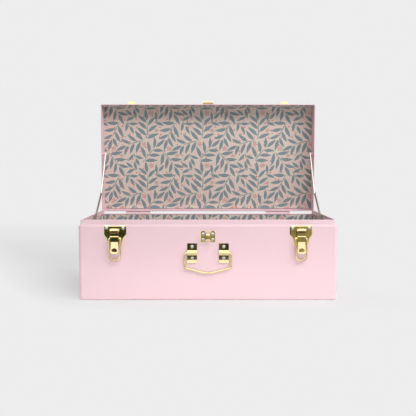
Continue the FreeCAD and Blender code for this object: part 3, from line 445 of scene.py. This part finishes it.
wear(["lid_shell", "lid_end_left", "lid_end_right"], ENAMEL)
wear(["lid_lining"], printed_cotton("cotton_lid", (1, 0, 0), (0, -1, 1)))


# Two butt hinges of folded steel strip, riveted to the back of the body and the lid and
# sprayed with the trunk. Only their pins stay bare steel.

STEEL = (0.82, 0.79, 0.74)
STEEL_DULL = (0.64, 0.61, 0.56)
STEEL_ROUGHNESS = 0.26
STEEL_GRAIN_SCALE = 1500.0
METAL_TONE_SCALE = 60.0
METAL_WAVE_HEIGHT = 0.000004
METAL_GRAIN_HEIGHT = 0.0000025
DULL_RANGE = (0.35, 0.75)
DULL_SHARE = 0.35
GRAIN_RANGE = (0.25, 0.75)
SMOOTHEST = 0.8
ROUGHEST = 1.3


def bright_metal(name, colour, dark, roughness, grain_scale):
    """Plated or bare metal: fine polishing marks and a slightly uneven tone."""
    material, tree, shader, place = new_material(name)
    noise = noise_node(tree, place, METAL_TONE_SCALE, grain_scale,
                       METAL_WAVE_HEIGHT, METAL_GRAIN_HEIGHT)
    share = ranged(tree, noise.outputs["Tone"], *DULL_RANGE, 0.0, DULL_SHARE)
    tree.links.new(mixed(tree, share, colour, dark), shader.inputs["Base Color"])
    rough = ranged(tree, noise.outputs["Grain"], *GRAIN_RANGE,
                   roughness * SMOOTHEST, roughness * ROUGHEST)
    tree.links.new(rough, shader.inputs["Roughness"])
    shader.inputs["Metallic"].default_value = 1.0
    bump_from(tree, shader, noise.outputs["Height"])
    return material


BARE_STEEL = bright_metal("bare_steel", STEEL, STEEL_DULL, STEEL_ROUGHNESS, STEEL_GRAIN_SCALE)
for side in ("left", "right"):
    wear(["hinge_body_leaf_" + side, "hinge_lid_leaf_" + side], ENAMEL)
    wear(["hinge_pin_" + side], BARE_STEEL)
wear(["hinge_body_rivets", "hinge_lid_rivets"], ENAMEL)


# Two draw latches on the front: a shield-shaped plate, a bent lever with a dished bill,
# and a round wire bail. All are brass plated and polished, with nickel rivet heads.

BRASS = (0.965, 0.845, 0.480)
BRASS_DEEP = (0.890, 0.700, 0.320)
BRASS_ROUGHNESS = 0.08
BRASS_GRAIN_SCALE = 2200.0
NICKEL = (0.60, 0.59, 0.59)
NICKEL_DULL = (0.48, 0.48, 0.48)
NICKEL_ROUGHNESS = 0.07
NICKEL_GRAIN_SCALE = 2500.0
POLISHED_BRASS = bright_metal("polished_brass", BRASS, BRASS_DEEP,
                              BRASS_ROUGHNESS, BRASS_GRAIN_SCALE)
BRIGHT_NICKEL = bright_metal("bright_nickel", NICKEL, NICKEL_DULL,
                             NICKEL_ROUGHNESS, NICKEL_GRAIN_SCALE)
for side in ("left", "right"):
    wear(["latch_plate_" + side, "latch_pin_" + side, "latch_lever_" + side, "latch_bail_" + side,
          "keeper_" + side], POLISHED_BRASS)
wear(["latch_rivets", "keeper_rivets"], BRIGHT_NICKEL)


# The hasp on the lid, whose leaf swings on a pin, and the staple on the body for it.
# Both are of the same plated brass, held by nickel rivets.

wear(["hasp_base", "hasp_leaf", "hasp_pin", "staple_plate", "staple"], POLISHED_BRASS)
wear(["hasp_rivets", "staple_rivets"], BRIGHT_NICKEL)


# The carrying handle: a brass wire bent to a shallow V, whose ends swing in the folded
# barrels of two brackets. Each bracket has two nickel rivets.

wear(["handle", "handle_bracket_left", "handle_bracket_right"], POLISHED_BRASS)
wear(["handle_rivets"], BRIGHT_NICKEL)


# The lid stays: two flat steel links on each side that turn on posts on the end walls.
# The upper links are bright steel; the lower links and the body's posts are painted darker,
# a painted shade. The posts on the lid are sprayed with the trunk.

LINK_BRIGHT = (0.94, 0.91, 0.84)
LINK_WORN = (0.84, 0.80, 0.72)
LINK_ROUGHNESS = 0.20
# The lower links' colour: the same steel painted dark, a painted shade.
PAINTED_SHADE_STEEL = (0.40, 0.35, 0.29)
PAINTED_SHADE_STEEL_DEEP = (0.28, 0.24, 0.20)
PAINTED_SHADE_STEEL_ROUGHNESS = 0.30
LINK_STEEL = bright_metal("polished_steel", LINK_BRIGHT, LINK_WORN,
                          LINK_ROUGHNESS, STEEL_GRAIN_SCALE)
SHADED_STEEL = bright_metal("steel_painted_shade", PAINTED_SHADE_STEEL, PAINTED_SHADE_STEEL_DEEP, PAINTED_SHADE_STEEL_ROUGHNESS, STEEL_GRAIN_SCALE)
for side in ("left", "right"):
    wear(["stay_upper_" + side], LINK_STEEL)
    wear(["stay_lid_post_" + side], ENAMEL)
    wear(["stay_lower_" + side, "stay_body_post_" + side], SHADED_STEEL)


# The studio's floor: matt white, and lit for real only under and behind the trunk, where
# its shadow falls. Elsewhere the camera sees the same even pale grey as in the backdrop.

BACKDROP = (0.847, 0.847, 0.847)
FLOOR_SIZE = 12.0
FLOOR_DROP = 0.0003
FLOOR_ALBEDO = 0.83
SHADOW_SLANT = 0.60
SHADOW_MIDDLE = (-0.050, 1.000, 0.0)
SHADOW_HALF_SIZE = (0.250, 1.125, 0.0)
SHADOW_REACH = (0.220, 0.150, 1.0)
FOOT_DARKNESS = 0.65
BEHIND_DARKNESS = 0.38
BEHIND = 0.30
FAR_BEHIND = 1.70


def flat_mesh(name, corners):
    """A single flat face."""
    mesh = bpy.data.meshes.new(name)
    mesh.from_pydata(corners, [], [list(range(len(corners)))])
    piece = bpy.data.objects.new(name, mesh)
    bpy.context.scene.collection.objects.link(piece)
    return piece


def floor_finish():
    """Matt white; away from the shadow, the camera and mirrors see it as an even glow."""
    material, tree, shader, place = new_material("studio_floor")
    shader.inputs["Base Color"].default_value = (FLOOR_ALBEDO, FLOOR_ALBEDO, FLOOR_ALBEDO, 1.0)
    shader.inputs["Roughness"].default_value = 1.0
    shader.inputs["Specular IOR Level"].default_value = 0.0
    glow = add(tree, "ShaderNodeEmission", {"Color": (*BACKDROP, 1.0), "Strength": 1.0})
    path = tree.nodes.new("ShaderNodeLightPath")
    seen = math_of(tree, "MAXIMUM", path.outputs["Is Camera Ray"], path.outputs["Is Glossy Ray"])
    parts = add(tree, "ShaderNodeSeparateXYZ", {0: place})
    behind = parts.outputs[1]
    across = math_of(tree, "MULTIPLY_ADD", behind, SHADOW_SLANT, parts.outputs[0])
    slanted = add(tree, "ShaderNodeCombineXYZ", {0: across, 1: behind}).outputs[0]
    near = vector_of(tree, "ABSOLUTE", vector_of(tree, "SUBTRACT", slanted, SHADOW_MIDDLE))
    outside = vector_of(tree, "SUBTRACT", near, SHADOW_HALF_SIZE)
    beyond = vector_of(tree, "MAXIMUM", outside, (0.0, 0.0, 0.0))
    away = size_of(tree, "LENGTH", vector_of(tree, "DIVIDE", beyond, SHADOW_REACH))
    inside = ranged(tree, away, 0.0, 1.0, 1.0, 0.0)
    darkness = ranged(tree, behind, 0.0, BEHIND, FOOT_DARKNESS, BEHIND_DARKNESS)
    fade = ranged(tree, behind, BEHIND, FAR_BEHIND, 1.0, 0.0)
    dark = math_of(tree, "MULTIPLY", inside, math_of(tree, "MULTIPLY", darkness, fade))
    share = math_of(tree, "MULTIPLY", seen, math_of(tree, "SUBTRACT", 1.0, dark))
    mix = tree.nodes.new("ShaderNodeMixShader")
    tree.links.new(share, mix.inputs[0])
    tree.links.new(shader.outputs[0], mix.inputs[1])
    tree.links.new(glow.outputs[0], mix.inputs[2])
    tree.links.new(mix.outputs[0], tree.nodes["Material Output"].inputs["Surface"])
    return material


half = FLOOR_SIZE / 2
floor = flat_mesh("studio_floor",
                  [(-half, -half, 0), (half, -half, 0), (half, half, 0), (-half, half, 0)])
floor.location.z = -FLOOR_DROP
floor.data.materials.append(floor_finish())


# The cards: flat sheets around the camera, in place of the dark and bright parts of a
# studio. They are painted reflections: only the gloss on metal and enamel mirrors them,
# and they light nothing and throw no shadow.

DARK_REFLECTION_Y = -0.700
REFLECTED_DARK = (0.012, 0.015, 0.006)
REFLECTED_OLIVE = (0.075, 0.110, 0.045)
REFLECTED_BROWN = (0.200, 0.125, 0.055)
REFLECTED_GOLD = (0.390, 0.320, 0.180)
OLIVE_PATCH_SCALE = 34.0
OLIVE_RANGE = (0.50, 0.70)
BROWN_PATCH_SCALE = 47.0
BROWN_RANGE = (0.54, 0.74)
GOLD_PATCH_RANGE = (0.40, 0.56)
GOLD_LEAST_SHARE = 0.35
GOLD_MIDDLE = (0.0, DARK_REFLECTION_Y, 0.080)
GOLD_CORE = 0.028
GOLD_EDGE = 0.055
GOLD_SIDE_START = 0.215
GOLD_SIDE_FULL = 0.285
PAINTED_HIGHLIGHT_GLOW = 1.90
HASP_REFLECTED_BROWN = (0.100, 0.058, 0.020)
FLOOR_REFLECTED_BROWN = (0.110, 0.075, 0.035)


def mirrored_card(name, corners, material):
    """A card that the camera, the lamps and matt surfaces don't see; only gloss mirrors it, as a
    painted reflection.
    """
    card = flat_mesh(name, corners)
    card.data.materials.append(material)
    for seen in ("visible_camera", "visible_diffuse", "visible_shadow", "visible_transmission"):
        setattr(card, seen, False)


def upright_card(name, left, right, y, low, high, material):
    """A card that stands across the view."""
    mirrored_card(name, [(left, y, low), (right, y, low), (right, y, high), (left, y, high)],
                  material)


def level_card(name, left, right, front, back, z, material):
    """A card that lies level."""
    mirrored_card(name, [(left, front, z), (right, front, z), (right, back, z), (left, back, z)],
                  material)


def glowing(name):
    """A material that only glows; returns it with its glow."""
    material = bpy.data.materials.new(name)
    material.use_nodes = True
    tree = material.node_tree
    tree.nodes.clear()
    glow = tree.nodes.new("ShaderNodeEmission")
    output = tree.nodes.new("ShaderNodeOutputMaterial")
    tree.links.new(glow.outputs[0], output.inputs["Surface"])
    return material, glow


def painted_dark_reflection_finish():
    """A painted reflection: near black with olive and brown patches, golden in the middle and at
    the right.
    """
    material, glow = glowing("painted_dark_reflection")
    tree = material.node_tree
    place = tree.nodes.new("ShaderNodeTexCoord").outputs["Object"]
    olive = add(tree, "ShaderNodeTexNoise",
                {"Vector": place, "Scale": OLIVE_PATCH_SCALE, "Detail": 2.0})
    brown = add(tree, "ShaderNodeTexNoise",
                {"Vector": place, "Scale": BROWN_PATCH_SCALE, "Detail": 2.0})
    away = size_of(tree, "LENGTH", vector_of(tree, "SUBTRACT", place, GOLD_MIDDLE))
    across = add(tree, "ShaderNodeSeparateXYZ", {0: place}).outputs[0]
    golden = math_of(tree, "MAXIMUM", ranged(tree, away, GOLD_CORE, GOLD_EDGE, 1.0, 0.0),
                     ranged(tree, across, GOLD_SIDE_START, GOLD_SIDE_FULL, 0.0, 1.0))
    patchy = ranged(tree, brown.outputs[0], *GOLD_PATCH_RANGE, GOLD_LEAST_SHARE, 1.0)
    colour = mixed(tree, ranged(tree, olive.outputs[0], *OLIVE_RANGE), REFLECTED_DARK, REFLECTED_OLIVE)
    colour = mixed(tree, ranged(tree, brown.outputs[0], *BROWN_RANGE), colour, REFLECTED_BROWN)
    colour = mixed(tree, math_of(tree, "MULTIPLY", golden, patchy), colour, REFLECTED_GOLD)
    tree.links.new(colour, glow.inputs["Color"])
    return material


def plain_card_finish(name, colour, strength=1.0):
    """An even glow."""
    material, glow = glowing(name)
    glow.inputs["Color"].default_value = (*colour, 1.0)
    glow.inputs["Strength"].default_value = strength
    return material


# A painted reflection: a dark sheet low before the trunk, seen only in the gloss of the brass.
upright_card("painted_dark_reflection", left=-0.370, right=0.370, y=DARK_REFLECTION_Y, low=0.0, high=0.140,
             material=painted_dark_reflection_finish())
# A painted highlight: a sheet above the camera that glows white only in gloss and lights nothing.
level_card("painted_highlight_card", left=-1.5, right=1.5, front=-2.6, back=-0.1, z=1.8,
           material=plain_card_finish("painted_highlight_card", (1.0, 1.0, 1.0), PAINTED_HIGHLIGHT_GLOW))
# A painted reflection: a small brown sheet high before the trunk that darkens the hasp's gloss.
upright_card("painted_hasp_reflection", left=-0.045, right=0.030, y=-0.69, low=0.42, high=0.80,
             material=plain_card_finish("painted_hasp_reflection", HASP_REFLECTED_BROWN))
# Painted reflections: two brown sheets on the floor before the trunk that darken the downward
# gloss of the brass and rivets.
for side, left, right in (("left", -0.40, -0.20), ("right", 0.20, 0.40)):
    level_card("painted_floor_reflection_" + side, left=left, right=right, front=-0.52, back=-0.18, z=0.002,
               material=plain_card_finish("painted_floor_reflection_" + side, FLOOR_REFLECTED_BROWN))


# The room: pale all round. It lights the trunk softly. The camera sees it as a plain
# pale grey, and the gloss on metal and enamel mirrors it as white, brighter than the
# light it gives: a painted reflection.

ROOM_LIGHT = 0.40
# The glow that gloss mirrors: a painted reflection.
PAINTED_REFLECTION_GLOW = 1.1
WHITE = (1.0, 1.0, 1.0, 1.0)

world = bpy.data.worlds.new("studio")
bpy.context.scene.world = world
world.use_nodes = True
world_tree = world.node_tree
room = world_tree.nodes["Background"]
room.inputs["Color"].default_value = WHITE
room.inputs["Strength"].default_value = ROOM_LIGHT
shown = add(world_tree, "ShaderNodeBackground", {"Color": (*BACKDROP, 1.0), "Strength": 1.0})
mirrored = add(world_tree, "ShaderNodeBackground", {"Color": WHITE, "Strength": PAINTED_REFLECTION_GLOW})
world_path = world_tree.nodes.new("ShaderNodeLightPath")
world_surface = room.outputs[0]
for ray, background in (("Is Camera Ray", shown), ("Is Glossy Ray", mirrored)):
    mix = world_tree.nodes.new("ShaderNodeMixShader")
    world_tree.links.new(world_path.outputs[ray], mix.inputs[0])
    world_tree.links.new(world_surface, mix.inputs[1])
    world_tree.links.new(background.outputs[0], mix.inputs[2])
    world_surface = mix.outputs[0]
world_tree.links.new(world_surface, world_tree.nodes["World Output"].inputs["Surface"])


# The lamps: a soft key from the right, a broad one from above the camera, a low strip
# before the trunk and a broad one behind it. The last two leave the floor as it is.

TRUNK_MIDDLE = (0.0, 0.0, 0.2)


def soft_light(name, place, target, width, height, power):
    """A rectangular lamp that looks at a point."""
    lamp = bpy.data.lights.new(name, "AREA")
    lamp.shape = "RECTANGLE"
    lamp.size = width
    lamp.size_y = height
    lamp.energy = power
    piece = bpy.data.objects.new(name, lamp)
    bpy.context.scene.collection.objects.link(piece)
    piece.location = place
    piece.rotation_euler = (Vector(target) - Vector(place)).to_track_quat("-Z", "Y").to_euler()
    piece.visible_glossy = False
    piece.visible_camera = False
    return piece


soft_light("key_light", (1.75, -1.05, 1.55), TRUNK_MIDDLE, width=1.0, height=1.0, power=22.6)
soft_light("front_light", (0.5, -1.55, 2.35), TRUNK_MIDDLE, width=1.4, height=1.4, power=24.5)
low_fill = soft_light("low_fill", (0.0, -0.26, 0.003), (0.0, -0.15, 0.04),
                      width=0.9, height=0.08, power=0.27)
back_light = soft_light("back_light", (-0.9, 2.3, 1.7), (0.0, 0.1, 0.2),
                        width=1.6, height=1.6, power=34.0)
not_on_floor = bpy.data.collections.new("all_but_the_floor")
not_on_floor.objects.link(floor)
not_on_floor.collection_objects[0].light_linking.link_state = "EXCLUDE"
for lamp in (low_fill, back_light):
    lamp.light_linking.receiver_collection = not_on_floor


# The camera: a 50 mm lens before the trunk, somewhat above its rim and tilted down a
# little, at the photograph's viewing angle.

CAMERA_PLACE = (0.0, -1.476, 0.313)
CAMERA_PITCH = math.radians(4.23)
CAMERA_LENS = 50.0
CAMERA_SENSOR = 36.0
CAMERA_FAR = 50.0

camera_data = bpy.data.cameras.new("photo_camera")
camera_data.lens = CAMERA_LENS
camera_data.sensor_width = CAMERA_SENSOR
camera_data.clip_end = CAMERA_FAR
camera = bpy.data.objects.new("photo_camera", camera_data)
bpy.context.scene.collection.objects.link(camera)
camera.location = CAMERA_PLACE
camera.rotation_euler = (math.pi / 2 - CAMERA_PITCH, 0.0, 0.0)
bpy.context.scene.camera = camera
bpy.context.scene.view_settings.view_transform = "Standard"
